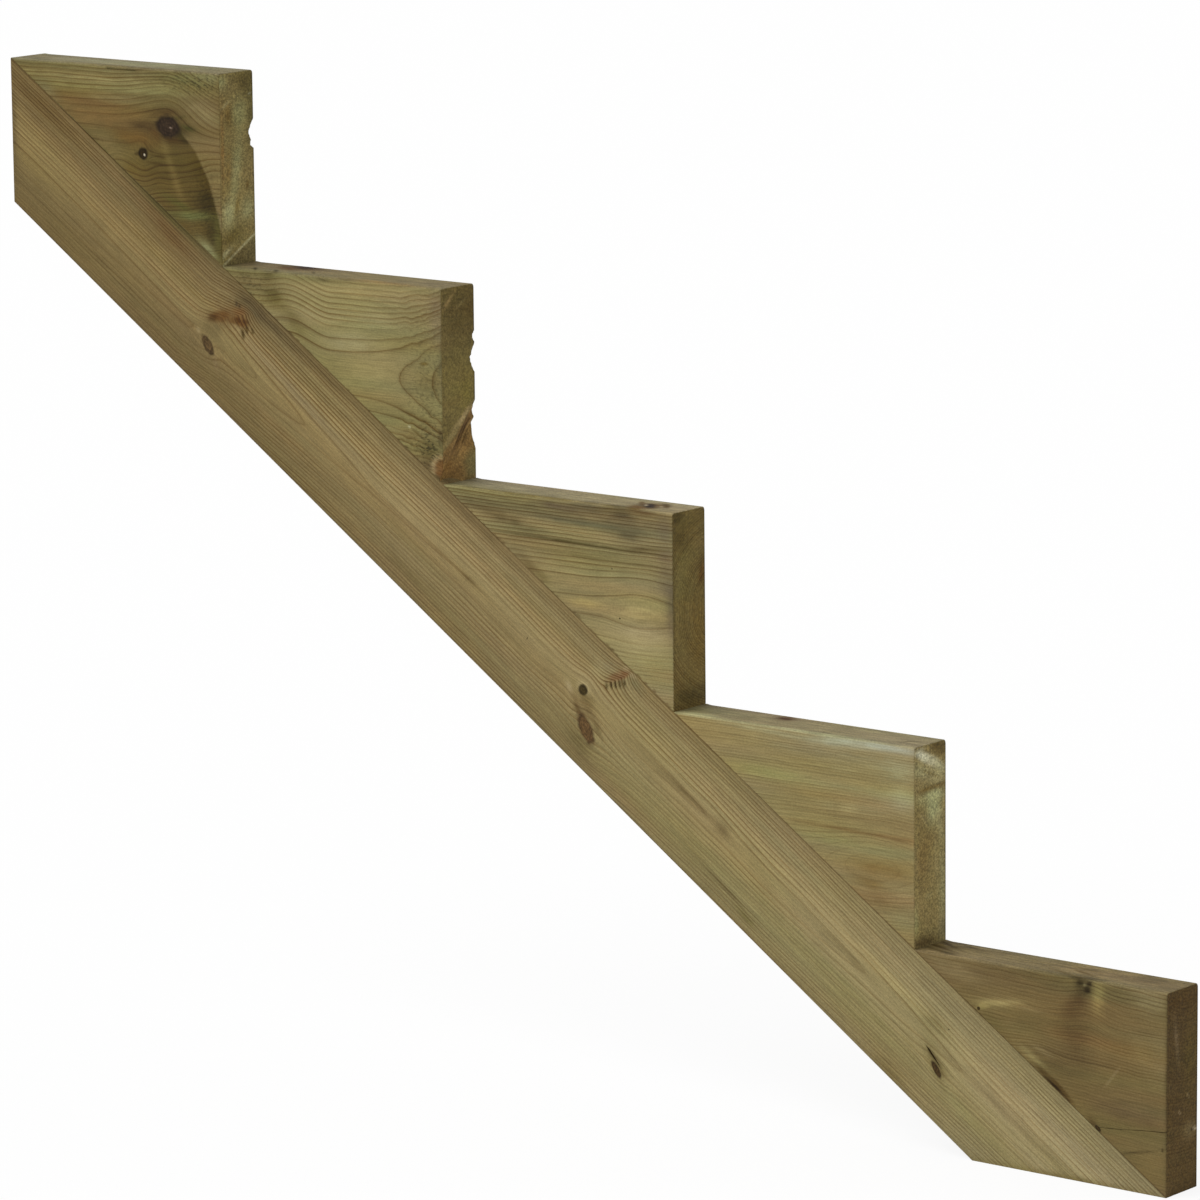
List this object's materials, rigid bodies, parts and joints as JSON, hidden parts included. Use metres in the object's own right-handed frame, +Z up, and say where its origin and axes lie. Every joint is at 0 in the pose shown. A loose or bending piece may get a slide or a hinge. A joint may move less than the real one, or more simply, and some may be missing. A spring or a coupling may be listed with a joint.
{
  "type": "stair stringer",
  "caption": "Inclined stair stringer of treated softwood: a bearer with plumb and level end cuts and triangular blocks along its upper edge that seat treads and risers.",
  "frame": {"origin": "middle of the level cut that stands on the floor, halfway through the timber", "axes": "+X along the stair, downwards and away from the deck; +Y through the timber, away from the face that the picture shows; +Z up"},
  "size_m": [1.25, 0.045, 0.85],
  "materials": {
    "bearer_timber": "planed, pressure-treated, green-brown",
    "block_timber": "planed faces and sawn ends, pressure-treated, green-brown",
    "screw_steel": "coated steel"
  },
  "bodies": {
    "root": {"bearer": "bearer_timber", "step_block_1": "block_timber", "step_block_2": "block_timber", "step_block_3": "block_timber", "step_block_4": "block_timber", "step_block_5": "block_timber", "block_screws": "screw_steel", "foot_screw": "screw_steel"}
  },
  "joints": []
}
